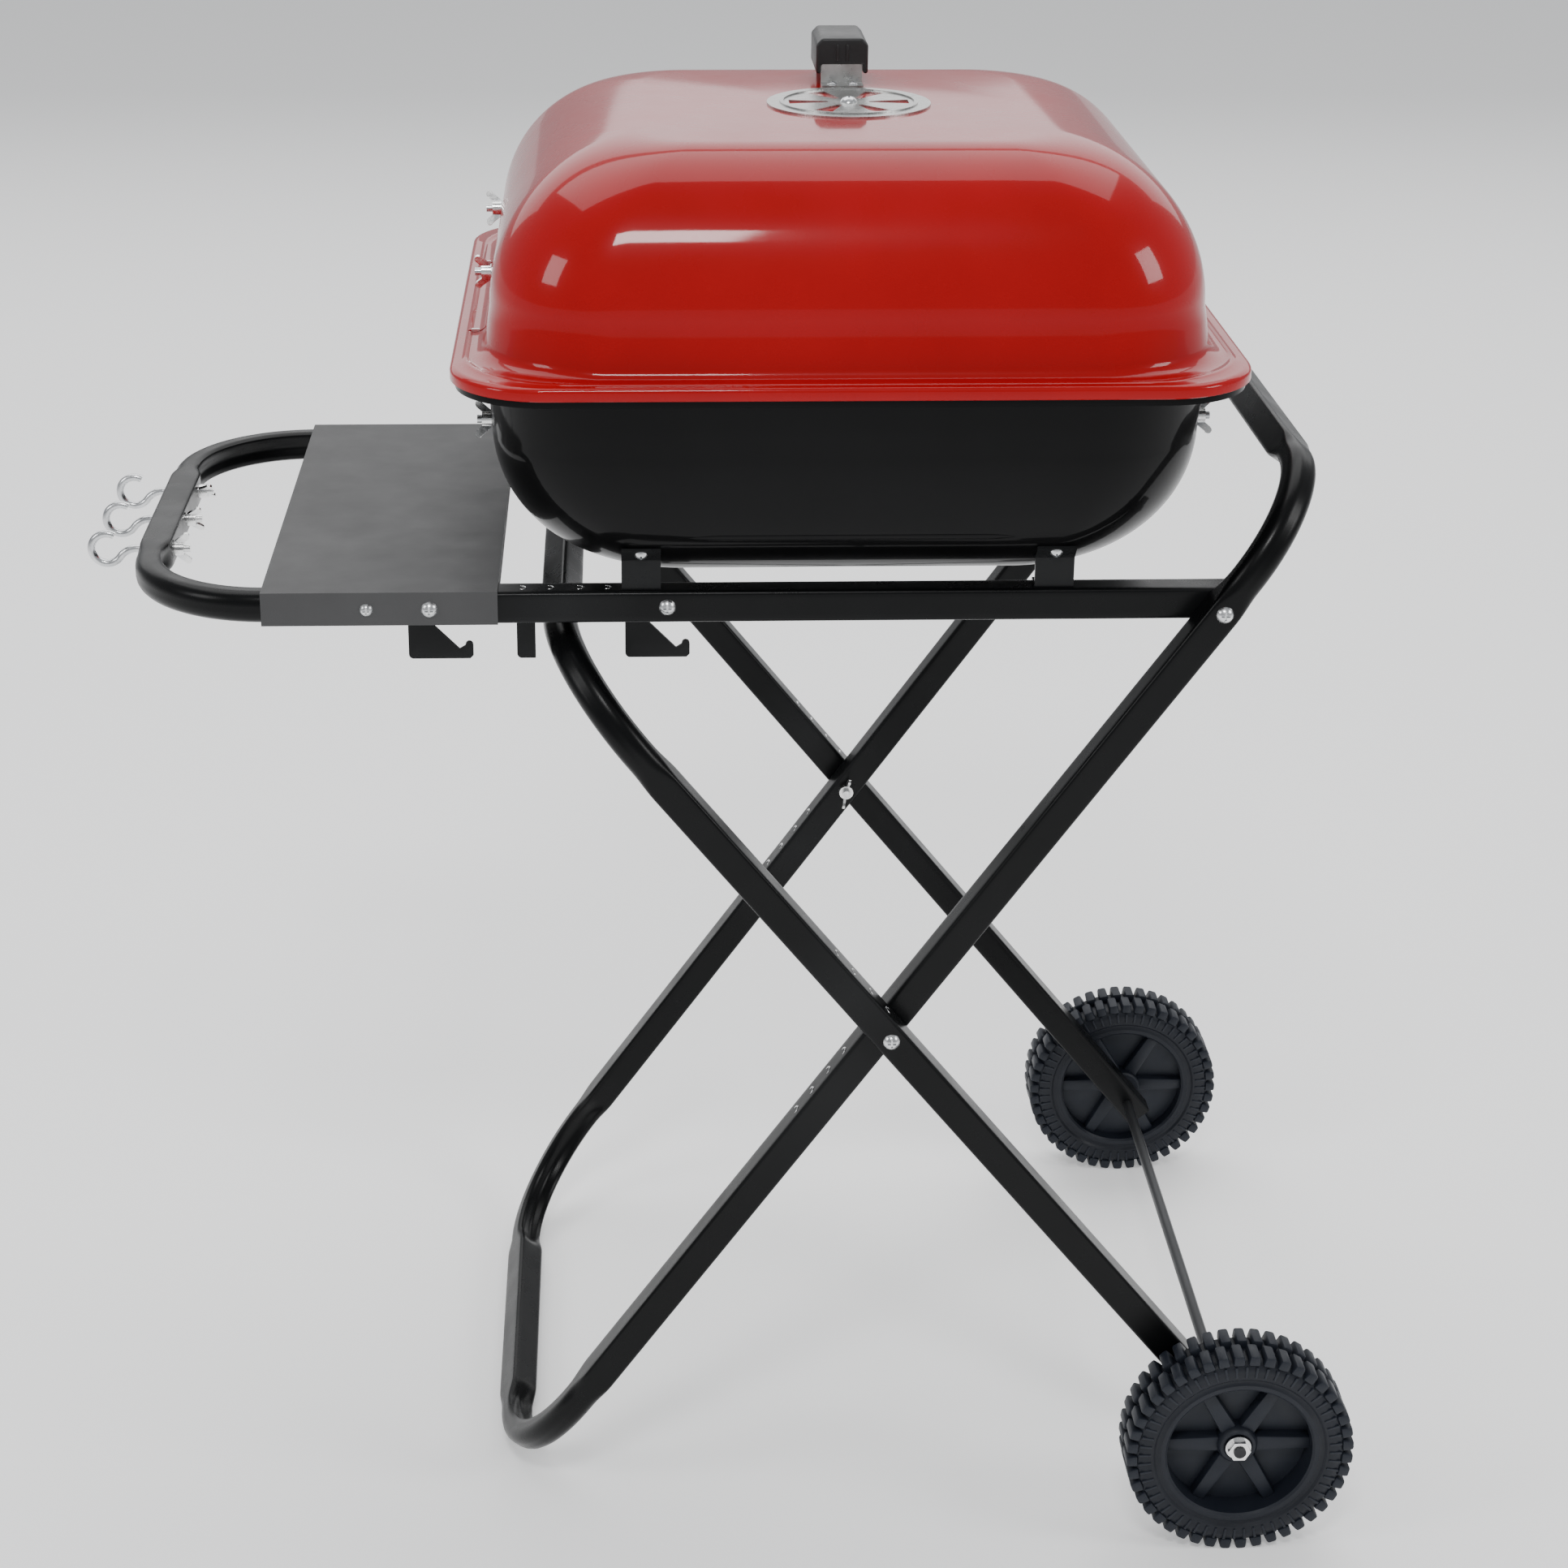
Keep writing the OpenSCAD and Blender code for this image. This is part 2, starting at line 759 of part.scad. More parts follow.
// Outer half length of the bowl at height z, above its rounded edge
function bowl_half_x(z) =
    pan_half[0] - pan_draft * (bowl_mouth_z - z) / (bowl_mouth_z - bowl_bottom_z - fillet[2]);

// Places the children on the outside of the bowl wall at each rest bolt, +X outwards
module at_rests() {
    for (s = [0, 1])
        translate([kettle_x, 0, 0]) mirror([s, 0, 0])
            for (z = rest_z)
                both_sides() translate([bowl_half_x(z), rest_y, z]) children();
}

// Angle strips inside the bowl that carry the two grates
module grate_rests() {
    color("#8d8f91") at_rests() difference() {
        union() {
            translate([-rest_inset - rest_t, -rest_w / 2, -8]) cube([rest_t, rest_w, 14]);
            translate([-rest_inset - 16, -rest_w / 2, -8]) cube([16, rest_w, rest_t]);
        }
        translate([-10, 0, 0]) rotate([0, 90, 0]) cylinder(r = small_bolt_r + fit, h = 10);
    }
}

module grate_rest_bolts() {
    color("#c9cbcd") at_rests()
        translate([-rest_inset - rest_t, 0, 0]) rotate([0, -90, 0])
            pan_bolt(small_bolt_r, 4.5, 2.5, 14);
}

module grate_rest_wing_nuts() {
    color("#c9cbcd") at_rests()
        translate([0.4, 0, 0]) rotate([0, 90, 0]) rotate([0, 0, 25]) wing_nut(small_bolt_r);
}

// Half length of a grate bar at x, ending on the frame's outline
function bar_reach(half, x) =
    abs(x) <= half[0] - grate_r
        ? half[1]
        : half[1] - grate_r + sqrt(grate_r * grate_r - pow(abs(x) - half[0] + grate_r, 2));

// Wire grate: a round-cornered frame and parallel bars, in the XY plane
module wire_grate(half, pitch, wire) {
    n = floor((half[0] - 8) / pitch);
    linear_extrude(wire) difference() {
        round_rect(half, grate_r);
        round_rect(half - [wire, wire], grate_r - wire);
    }
    for (k = [-n:n]) {
        reach = bar_reach(half, abs(k * pitch) + wire / 2) - wire / 2;
        translate([k * pitch - wire / 2, -reach, wire - eps]) cube([wire, 2 * reach, wire]);
    }
    for (y = [-half[1] / 2, half[1] / 2])
        translate([-half[0] + wire / 2, y - wire / 2, 0])
            cube([2 * half[0] - wire, wire, wire]);
}

module charcoal_grate() {
    color("#6e7072") translate([kettle_x, 0, rest_z[1] - 6.5])
        wire_grate([205, 180], 20, 4);
}

module cooking_grate() {
    color("#c9cbcd") translate([kettle_x, 0, rest_z[0] - 6.5])
        wire_grate([207, 190], 12, 3.5);
}

// Steel hooks screwed to the bowl that stand up through the slots in both flanges
module hinge_hooks() {
    color("#c9cbcd") both_sides()
        translate([hinge_x, hinge_y, bowl_flange_z - hook_drop]) difference() {
            union() {
                translate([hook_stem[0], -1, 0])
                    cube([hook_stem[1] - hook_stem[0], 2, flange_z + 2 - bowl_flange_z + hook_drop]);
                translate([hook_stem[0], -1, 0]) cube([hook_foot[1] - hook_stem[0], 2, 8]);
                translate([hook_foot[0], -9, 0]) cube([hook_foot[1] - hook_foot[0], 18, 12]);
            }
            for (d = [-5.5, 5.5])
                translate([hook_foot[0] - 1, d, 6]) rotate([0, 90, 0])
                    cylinder(r = 1.5 + fit, h = 4);
        }
}

module hinge_hook_screws() {
    color("#c9cbcd") both_sides()
        for (d = [-5.5, 5.5])
            translate([hinge_x + hook_foot[0], hinge_y + d, bowl_flange_z - hook_drop + 6])
                rotate([0, -90, 0]) pan_bolt(1.5, 2.8, 1.8, hook_foot[1] - hook_foot[0]);
}

module ash_damper() {
    color("#b9bbbd") translate([kettle_x, 0, bowl_bottom_z - 0.1 - 1.2]) difference() {
        union() {
            cylinder(r = damper_r, h = 1.2);
            translate([damper_r - 4, -7, -8]) cube([1.5, 14, 8 + 0.6]);
        }
        translate([0, 0, -1]) draught_slots(12, 36, 4);
        translate([0, 0, -1]) cylinder(r = bolt_r + fit, h = 4);
    }
}

module ash_damper_rivet() {
    color("#c9cbcd") translate([kettle_x, 0, bowl_bottom_z]) {
        translate([0, 0, -1.4]) mirror([0, 0, 1]) cylinder(r = 6, h = 1.2);
        translate([0, 0, -1.5]) cylinder(r = bolt_r, h = 1.5 + sheet + 0.1);
        translate([0, 0, sheet + 0.05]) cylinder(r = 5, h = 1.2);
    }
}

// ---- lid ----

module lid() {
    depth = lid_top_z - flange_z + sheet / 2;
    color("#b80d12") difference() {
        translate([kettle_x, 0, 0]) union() {
            translate([0, 0, flange_z - sheet / 2]) pan_shell(depth, lid_fillet);
            translate([0, 0, flange_z]) flange(flange_half, flange_r, lip);
        }
        translate([vent_x, 0, lid_top_z - 3]) {
            rotate([0, 0, 30]) draught_slots(13, 38, 5);
            cylinder(r = bolt_r + fit, h = 5);
        }
        both_sides()
            translate([hinge_x + 8, hinge_y - 1.6, flange_z - 4]) cube([11, 3.2, 8]);
        both_sides()
            translate([kettle_x - pan_half[0], hinge_y, hinge_bolt_z]) rotate([0, 90, 0])
                cylinder(r = small_bolt_r + fit, h = 30, center = true);
        for (x = strap_rivet_x)
            translate([vent_x + x, rivet_y, lid_top_z - 3]) cylinder(r = screw_r + fit, h = 6);
    }
}

// Places the children on the outside of the lid wall at each hinge bolt, +X into the lid
module at_hinge_bolts() {
    both_sides() translate([kettle_x - lid_wall, hinge_y, hinge_bolt_z]) children();
}

module hinge_plates() {
    color("#8d8f91") at_hinge_bolts() difference() {
        translate([plate_inset, -12, -22]) cube([rest_t, 24, 32]);
        rotate([0, 90, 0]) cylinder(r = small_bolt_r + fit, h = 20);
    }
}

module hinge_plate_bolts() {
    color("#c9cbcd") at_hinge_bolts()
        translate([plate_inset + rest_t, 0, 0]) rotate([0, 90, 0])
            pan_bolt(small_bolt_r, 4.5, 2.5, 16);
}

module hinge_plate_wing_nuts() {
    color("#c9cbcd") at_hinge_bolts()
        translate([-1.1, 0, 0]) rotate([0, -90, 0]) rotate([0, 0, 20]) wing_nut(small_bolt_r);
}

// Bent steel strap: foot, upright, bridge and a second upright
module handle_strap() {
    color("#9a9c9e") translate([vent_x, 0, lid_top_z]) difference() {
        union() {
            translate([-strap_w / 2, strap_y[0] - strap_foot, 0])
                cube([strap_w, strap_foot + strap_t, strap_t]);
            for (y = strap_y)
                translate([-strap_w / 2, y, 0]) cube([strap_w, strap_t, strap_h]);
            translate([-strap_w / 2, strap_y[0], strap_h - strap_t])
                cube([strap_w, strap_y[1] - strap_y[0] + strap_t, strap_t]);
        }
        for (x = strap_rivet_x) {
            translate([x, rivet_y, -1]) cylinder(r = screw_r + fit, h = 4);
            translate([x, grip_y, strap_h - 3]) cylinder(r = screw_r + fit, h = 4);
        }
    }
}

module strap_rivets() {
    color("#d6d8da")
        for (x = strap_rivet_x)
            translate([vent_x + x, rivet_y, lid_top_z + strap_t]) pan_bolt(screw_r, 3.4, 2, 5);
}

// Moulded grip over the strap's bridge, with two raised ridges on each end
module lid_grip() {
    len = grip_size[1];
    h = grip_size[2];
    half = [grip_size[0] / 2, (h + grip_skirt) / 2];
    color("#141414") translate([vent_x, grip_y, lid_top_z + strap_h]) difference() {
        union() {
            translate([0, len / 2, h - half[1]]) rotate([90, 0, 0])
                linear_extrude(len) round_rect(half, 4);
            for (x = [-3, 3])
                translate([x - 0.8, -len / 2 - 1, 2]) cube([1.6, len + 2, h - 5]);
        }
        translate([-strap_w / 2 - 0.2, -len / 2 - 2, -20]) cube([strap_w + 0.4, len + 4, 20]);
        for (x = strap_rivet_x)
            translate([x, 0, -1]) cylinder(r = screw_r + fit, h = 11);
    }
}

module grip_screws() {
    color("#c9cbcd")
        for (x = strap_rivet_x)
            translate([vent_x + x, grip_y, lid_top_z + strap_h - strap_t]) mirror([0, 0, 1])
                pan_bolt(screw_r, 3.4, 2, 11);
}

module lid_vent() {
    color("#c4c6c8") translate([vent_x, 0, lid_top_z + touch]) difference() {
        union() {
            cylinder(r = vent_r, h = 1.2);
            difference() {
                cylinder(r = 44, h = 2.2);
                translate([0, 0, -1]) cylinder(r = 41.5, h = 5);
            }
        }
        translate([0, 0, -1]) draught_slots(13, 38, 4);
        translate([0, 0, -1]) cylinder(r = bolt_r + fit, h = 4);
    }
}

module vent_screw() {
    color("#d6d8da") translate([vent_x, 0, lid_top_z + 1.2 + 2 * touch]) {
        pan_bolt(bolt_r, 5.6, 3.6, 8);
        translate([0, 0, -1.2 - 2 * touch - sheet - 4.2]) hex_nut(bolt_r - fit, 9, 4);
    }
}

foot_frame();
handle_frame();
leg_a_sleeves();
deck_pivot_bolts();
deck_pivot_nuts();
deck_spacers();
leg_pivot_bolts();
leg_pivot_wing_nuts();
leg_spacers();
wheel_frame_top();
wheel_leg_front();
wheel_leg_rear();
leg_b_sleeves();
axle();
axle_spacers();
axle_nuts();
front_wheel();
rear_wheel();
shelf_loop();
front_rail();
rear_rail();
deck_sleeves();
side_shelf();
shelf_screws();
front_hook_rack();
rear_hook_rack();
rack_bolts();
rack_nuts();
tool_hooks();
tool_hook_wing_nuts();
bowl_brackets();
bracket_screws();
bowl();
grate_rests();
grate_rest_bolts();
grate_rest_wing_nuts();
charcoal_grate();
cooking_grate();
hinge_hooks();
hinge_hook_screws();
ash_damper();
ash_damper_rivet();
lid();
hinge_plates();
hinge_plate_bolts();
hinge_plate_wing_nuts();
handle_strap();
strap_rivets();
lid_grip();
grip_screws();
lid_vent();
vent_screw();
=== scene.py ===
import json
import math

import bmesh
import bpy
from mathutils import Matrix, Vector


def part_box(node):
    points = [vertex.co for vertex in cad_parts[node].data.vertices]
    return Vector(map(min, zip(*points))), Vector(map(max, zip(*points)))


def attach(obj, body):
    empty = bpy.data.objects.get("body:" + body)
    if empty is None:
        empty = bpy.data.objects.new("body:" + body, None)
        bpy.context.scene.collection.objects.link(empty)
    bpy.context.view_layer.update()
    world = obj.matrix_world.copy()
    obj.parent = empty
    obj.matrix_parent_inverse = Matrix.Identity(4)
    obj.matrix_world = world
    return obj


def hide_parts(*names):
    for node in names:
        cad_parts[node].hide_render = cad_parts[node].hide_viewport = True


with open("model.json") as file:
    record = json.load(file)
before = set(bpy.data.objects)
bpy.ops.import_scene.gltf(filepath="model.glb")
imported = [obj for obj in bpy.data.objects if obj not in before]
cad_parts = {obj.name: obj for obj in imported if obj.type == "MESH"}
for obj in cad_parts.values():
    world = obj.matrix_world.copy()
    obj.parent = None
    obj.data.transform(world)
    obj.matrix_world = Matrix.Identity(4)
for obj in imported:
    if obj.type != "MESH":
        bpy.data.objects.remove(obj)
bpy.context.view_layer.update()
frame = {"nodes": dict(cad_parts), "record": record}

# A rectangular enamelled charcoal grill on a folding X-leg trolley, dressed around its CAD frame.
# Metres, in the CAD frame: +X from the side shelf to the handle end, +Y to the rear, +Z up.

MM = 0.001

# ---- sizes repeated from the part's source ----
TUBE = 20 * MM
WALL = 1.5 * MM
SHEET = 1.5 * MM
RAIL_Y, LEG_A_Y, LEG_B_Y = 171 * MM, 192 * MM, 213 * MM
PIVOT = Vector((300, 0, 638)) * MM
CROSS = Vector((102, 0, 360)) * MM
AXLE = Vector((335, 0, 75)) * MM
BEND_R, HANDLE_BEND_R = 80 * MM, 70 * MM
A_ANGLE = math.atan2(PIVOT.z - CROSS.z, PIVOT.x - CROSS.x)
B_ANGLE = math.atan2(CROSS.z - AXLE.z, CROSS.x - AXLE.x)
A_PIVOT = (PIVOT - CROSS).length
B_AXLE = -(CROSS - AXLE).length


def half_diagonal(angle):
    return TUBE / 2 * (abs(math.cos(angle)) + abs(math.sin(angle)))


A_FOOT = -(CROSS.z - half_diagonal(A_ANGLE)) / math.sin(A_ANGLE)
A_HANDLE = A_PIVOT + 92 * MM
A_SEAM, B_SEAM, DECK_SEAM = -61 * MM, 40 * MM, -102 * MM
B_BAR = (PIVOT.z - 11 * MM - half_diagonal(B_ANGLE) - CROSS.z) / math.sin(B_ANGLE)
B_END = B_AXLE - 16 * MM
LOOP_X = -374 * MM
CRIMPS = (-26 * MM, -9 * MM, 9 * MM, 26 * MM)

KETTLE_X = 72 * MM
FLANGE = (240 * MM, 224 * MM, 58 * MM)      # half length, half depth, corner radius
PAN = (220 * MM, 205 * MM, 75 * MM)
DRAFT = 3 * MM
FLANGE_Z, LID_TOP = 788 * MM, 912 * MM
BOWL_FLANGE_Z, BOWL_BOTTOM = 786.2 * MM, 651 * MM
LID_EDGE = (95 * MM, 82 * MM, 95 * MM)      # edge radii along X, Y and Z
BOWL_EDGE = (95 * MM, 66 * MM, 90 * MM)
VENT_X = 80 * MM
SLOTS = 6
VENT_TURN = 30                              # degrees, between the slots of the disc and of the shell
HINGE_Y = 91 * MM
SLIT_X = (-160 * MM, -149 * MM)
SLIT_HALF = 1.6 * MM
RIB_X = (-25 * MM, 172 * MM)
RIB_ANGLE = math.radians(39)                # round the bowl's lower edge, from its wall


# ---- mesh helpers ----

def mesh_object(name, points, faces):
    mesh = bpy.data.meshes.new(name)
    mesh.from_pydata([tuple(p) for p in points], [], faces)
    mesh.validate()
    bm = bmesh.new()
    bm.from_mesh(mesh)
    bmesh.ops.recalc_face_normals(bm, faces=bm.faces)
    bm.to_mesh(mesh)
    bm.free()
    piece = bpy.data.objects.new(name, mesh)
    bpy.context.scene.collection.objects.link(piece)
    return piece


def shade(piece, degrees=32):
    piece.data.shade_smooth()
    piece.data.set_sharp_from_angle(angle=math.radians(degrees))
    return piece


def skin(name, rings, loop=False):
    """Quads between equal rings of points. The end rings are capped, or joined where loop is true."""
    n = len(rings[0])
    points = [p for ring in rings for p in ring]
    faces = []
    for i in range(len(rings) if loop else len(rings) - 1):
        a, b = i * n, (i + 1) % len(rings) * n
        faces += [(a + k, a + (k + 1) % n, b + (k + 1) % n, b + k) for k in range(n)]
    if not loop:
        faces.append(tuple(reversed(range(n))))
        faces.append(tuple(range((len(rings) - 1) * n, len(rings) * n)))
    return mesh_object(name, points, faces)


def apply_modifiers(piece):
    bpy.context.view_layer.update()
    graph = bpy.context.evaluated_depsgraph_get()
    mesh = bpy.data.meshes.new_from_object(piece.evaluated_get(graph))
    piece.modifiers.clear()
    piece.data = mesh
    return piece


def bevel(piece, width, segments=3, degrees=30):
    mod = piece.modifiers.new("bevel", "BEVEL")
    mod.width = width
    mod.segments = segments
    mod.limit_method = "ANGLE"
    mod.angle_limit = math.radians(degrees)
    return apply_modifiers(piece)


def cut(piece, cutter):
    mod = piece.modifiers.new("cut", "BOOLEAN")
    mod.operation = "DIFFERENCE"
    mod.solver = "EXACT"
    mod.object = cutter
    apply_modifiers(piece)
    bpy.data.objects.remove(cutter)
    return piece


def join(name, pieces):
    bm = bmesh.new()
    for piece in pieces:
        piece.data.transform(piece.matrix_world)
        bm.from_mesh(piece.data)
        bpy.data.objects.remove(piece)
    mesh = bpy.data.meshes.new(name)
    bm.to_mesh(mesh)
    bm.free()
    whole = bpy.data.objects.new(name, mesh)
    bpy.context.scene.collection.objects.link(whole)
    return whole


def place(piece, matrix):
    piece.data.transform(matrix)
    return piece


def prism(name, outline, z0, z1):
    return skin(name, [[(x, y, z) for x, y in outline] for z in (z0, z1)])


def lathe(name, profile, steps=96):
    """A closed profile of radius and height, turned around +Z."""
    rings = []
    for k in range(steps):
        a = math.tau * k / steps
        rings.append([(r * math.cos(a), r * math.sin(a), z) for r, z in profile])
    return skin(name, rings, loop=True)


def dress(piece, body, slot, *nodes):
    piece.data.materials.clear()
    piece.data.materials.append(LOOKS[slot])
    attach(piece, body)
    if nodes:
        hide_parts(*nodes)
    return piece


# ---- materials ----

def blank(name):
    made = bpy.data.materials.new(name)
    made.use_nodes = True
    return made, made.node_tree.nodes["Principled BSDF"]


def set_shader(shader, values):
    for socket, value in values.items():
        shader.inputs[socket].default_value = value


def coordinates(tree, stretch=(1, 1, 1)):
    source = tree.nodes.new("ShaderNodeTexCoord")
    mapping = tree.nodes.new("ShaderNodeMapping")
    mapping.inputs["Scale"].default_value = stretch
    tree.links.new(source.outputs["Object"], mapping.inputs["Vector"])
    return mapping.outputs["Vector"]


def noise(tree, vector, scale, detail=4.0, rough=0.55):
    node = tree.nodes.new("ShaderNodeTexNoise")
    node.inputs["Scale"].default_value = scale
    node.inputs["Detail"].default_value = detail
    node.inputs["Roughness"].default_value = rough
    tree.links.new(vector, node.inputs["Vector"])
    return node.outputs["Fac"]


def cells(tree, vector, scale):
    node = tree.nodes.new("ShaderNodeTexVoronoi")
    node.inputs["Scale"].default_value = scale
    tree.links.new(vector, node.inputs["Vector"])
    return node.outputs["Distance"]


def spread(tree, source, low, high, from_low=0.3, from_high=0.7):
    node = tree.nodes.new("ShaderNodeMapRange")
    for socket, value in (("From Min", from_low), ("From Max", from_high), ("To Min", low), ("To Max", high)):
        node.inputs[socket].default_value = value
    tree.links.new(source, node.inputs["Value"])
    return node.outputs["Result"]


def mix_colours(tree, factor, base, over):
    """A colour mix. The base is a colour or another node's output."""
    node = tree.nodes.new("ShaderNodeMix")
    node.data_type = "RGBA"
    if isinstance(base, tuple):
        node.inputs["A"].default_value = (*base, 1)
    else:
        tree.links.new(base, node.inputs["A"])
    node.inputs["B"].default_value = (*over, 1)
    tree.links.new(factor, node.inputs["Factor"])
    return next(o for o in node.outputs if o.type == "RGBA")


def worn_edges(tree, low=0.53, high=0.6):
    """1 on convex edges, 0 elsewhere, from the surface's own pointiness."""
    node = tree.nodes.new("ShaderNodeNewGeometry")
    return spread(tree, node.outputs["Pointiness"], 0, 1, low, high)


def bump(tree, shader, layers):
    """Chained bumps, each from one height."""
    normal = None
    for height, strength, distance in layers:
        node = tree.nodes.new("ShaderNodeBump")
        node.inputs["Strength"].default_value = strength
        node.inputs["Distance"].default_value = distance
        tree.links.new(height, node.inputs["Height"])
        if normal:
            tree.links.new(normal, node.inputs["Normal"])
        normal = node.outputs["Normal"]
    tree.links.new(normal, shader.inputs["Normal"])


def finish_material(name, dark, light, values, rough, *, tone=14, grain=700, relief=0.12,
                    depth=0.0002, stretch=(1, 1, 1), speckle=0, edge=None):
    """Mottled colour and roughness, a fine surface grain, and optional cells and worn edges."""
    made, shader = blank(name)
    tree = made.node_tree
    set_shader(shader, values)
    vector = coordinates(tree, stretch)
    tint = mix_colours(tree, spread(tree, noise(tree, vector, tone), 0, 1), dark, light)
    if edge:
        tint = mix_colours(tree, worn_edges(tree), tint, edge)
    tree.links.new(tint, shader.inputs["Base Color"])
    tree.links.new(spread(tree, noise(tree, vector, tone * 3.1, 6), *rough), shader.inputs["Roughness"])
    layers = [(noise(tree, vector, grain, 2), relief, depth)]
    if speckle:
        layers.append((cells(tree, vector, speckle), relief, depth))
    bump(tree, shader, layers)
    return made


LOOKS = {
    "red_enamel": finish_material(
        "red_enamel", (0.33, 0.0006, 0.003), (0.38, 0.0010, 0.004),
        {"Metallic": 0.0, "Specular IOR Level": 0.05,
         "Coat Weight": 0.7, "Coat Roughness": 0.06, "Coat IOR": 1.42},
        (0.24, 0.32), tone=9, grain=160, relief=0.05, depth=0.0004),
    "black_enamel": finish_material(
        "black_enamel", (0.0018, 0.0018, 0.002), (0.0035, 0.0035, 0.0038),
        {"Metallic": 0.0, "Specular IOR Level": 0.03,
         "Coat Weight": 0.45, "Coat Roughness": 0.06, "Coat IOR": 1.3},
        (0.28, 0.38), tone=9, grain=180, relief=0.05, depth=0.0004),
    "black_frame": finish_material(
        "black_frame", (0.0018, 0.002, 0.0022), (0.0034, 0.0037, 0.004),
        {"Metallic": 0.0, "Specular IOR Level": 0.17},
        (0.24, 0.33), tone=12, grain=900, relief=0.1, depth=0.0001, speckle=1500,
        edge=(0.010, 0.0105, 0.011)),
    "grey_shelf": finish_material(
        "grey_shelf", (0.050, 0.050, 0.051), (0.063, 0.063, 0.064),
        {"Metallic": 0.0, "Specular IOR Level": 0.4},
        (0.50, 0.60), tone=10, grain=1100, relief=0.22, depth=0.00015, speckle=1900),
    "zinc_steel": finish_material(
        "zinc_steel", (0.50, 0.51, 0.52), (0.78, 0.79, 0.80),
        {"Metallic": 1.0}, (0.16, 0.34), tone=90, grain=1500, relief=0.1, depth=0.0001,
        edge=(0.88, 0.88, 0.87)),
    "dark_steel": finish_material(
        "dark_steel", (0.022, 0.023, 0.025), (0.045, 0.046, 0.049),
        {"Metallic": 0.6}, (0.32, 0.46), tone=60, grain=1300, relief=0.12, depth=0.0001,
        stretch=(1, 0.1, 1)),
    "vent_steel": finish_material(
        "vent_steel", (0.44, 0.44, 0.43), (0.66, 0.66, 0.65),
        {"Metallic": 1.0, "Anisotropic": 0.5}, (0.22, 0.36), tone=70, grain=900,
        relief=0.14, depth=0.0001, stretch=(1, 14, 1)),
    "grate_chrome": finish_material(
        "grate_chrome", (0.52, 0.52, 0.53), (0.70, 0.70, 0.71),
        {"Metallic": 1.0}, (0.10, 0.24), tone=40, grain=900, relief=0.06, depth=0.0001),
    "wheel_plastic": finish_material(
        "wheel_plastic", (0.0045, 0.0062, 0.0110), (0.0075, 0.0100, 0.0165),
        {"Metallic": 0.0, "Specular IOR Level": 0.32}, (0.42, 0.56), tone=22, grain=1000,
        relief=0.18, depth=0.00015, edge=(0.016, 0.020, 0.029)),
    "grip_plastic": finish_material(
        "grip_plastic", (0.007, 0.007, 0.0075), (0.012, 0.012, 0.0125),
        {"Metallic": 0.0}, (0.36, 0.46), tone=30, grain=1400, relief=0.16, depth=0.0001,
        speckle=2200),
}

# ---- kettle ----

CORNER_STEPS = 16
SIDE_STEPS = 8


def outline(half_x, half_y, radius, z):
    """A level rounded rectangle around the kettle's middle."""
    x, y = half_x - radius, half_y - radius
    centres = ((x, y), (-x, y), (-x, -y), (x, -y))

    def on_arc(corner, quarters):
        a = math.radians(90) * quarters
        cx, cy = centres[corner % 4]
        return Vector((cx + radius * math.cos(a), cy + radius * math.sin(a), z))

    points = []
    for corner in range(4):
        points += [on_arc(corner, corner + i / CORNER_STEPS) for i in range(CORNER_STEPS + 1)]
        start, end = points[-1], on_arc(corner + 1, corner + 1)
        points += [start.lerp(end, k / SIDE_STEPS) for k in range(1, SIDE_STEPS)]
    return [p + Vector((KETTLE_X, 0, 0)) for p in points]


def pan_stations(depth, edge, steps=30):
    """Half length, half depth, corner radius and height of the pan, crown first."""
    stations = []
    for i in range(steps, -1, -1):
        t = math.radians(90 * i / steps)
        lost = 1 - math.cos(t)
        stations.append((PAN[0] - DRAFT - edge[0] * lost, PAN[1] - DRAFT - edge[1] * lost,
                         PAN[2] - 40 * MM * lost, depth - edge[2] * (1 - math.sin(t))))
    return stations


def from_wall_to_rim(profile, rim):
    """Stations from a profile of distance out from the wall and height."""
    stations = []
    for out, z in profile:
        share = out / (rim[0] - PAN[0])
        stations.append(tuple(PAN[k] + share * (rim[k] - PAN[k]) for k in range(3)) + (z,))
    return stations


def rim_stations(rim, lip, fillet):
    """The fillet, bead, flange and folded lip, from the wall out to the lip's lower edge."""
    reach = rim[0] - PAN[0]
    profile = []
    for i in range(7):
        a = math.radians(15 * i)
        profile.append((fillet * (1 - math.cos(a)), fillet * (1 - math.sin(a))))
    profile += [(reach * 0.46, 0), (reach * 0.50, 0.5 * MM), (reach * 0.56, 0.9 * MM),
                (reach * 0.62, 0.5 * MM), (reach * 0.66, 0)]
    fold = 3 * MM
    for i in range(6):
        a = math.radians(18 * i)
        profile.append((reach - fold + fold * math.sin(a), -fold * (1 - math.cos(a))))
    profile += [(reach, -lip + 0.5 * MM), (reach - 0.4 * MM, -lip)]
    return from_wall_to_rim(profile, rim)


def lid_pan(depth, edge, rim, lip, fillet):
    """The lid's whole enamelled shell with its rim, outside first and then back up the inside."""
    outer = pan_stations(depth, edge)
    wall_foot = outer[-1]
    mouth = rim_stations(rim, lip, fillet)
    for k in (0.66, 0.33):
        outer.append(tuple(mouth[0][i] + k * (wall_foot[i] - mouth[0][i]) for i in range(4)))
    outer += mouth
    floor_z = min(s[3] for s in outer)
    inner = [(x - SHEET, y - SHEET, r - SHEET, max(z - SHEET, floor_z)) for x, y, r, z in reversed(outer)]
    return skin("lid_enamel", [outline(x, y, r, FLANGE_Z + z) for x, y, r, z in outer + inner])


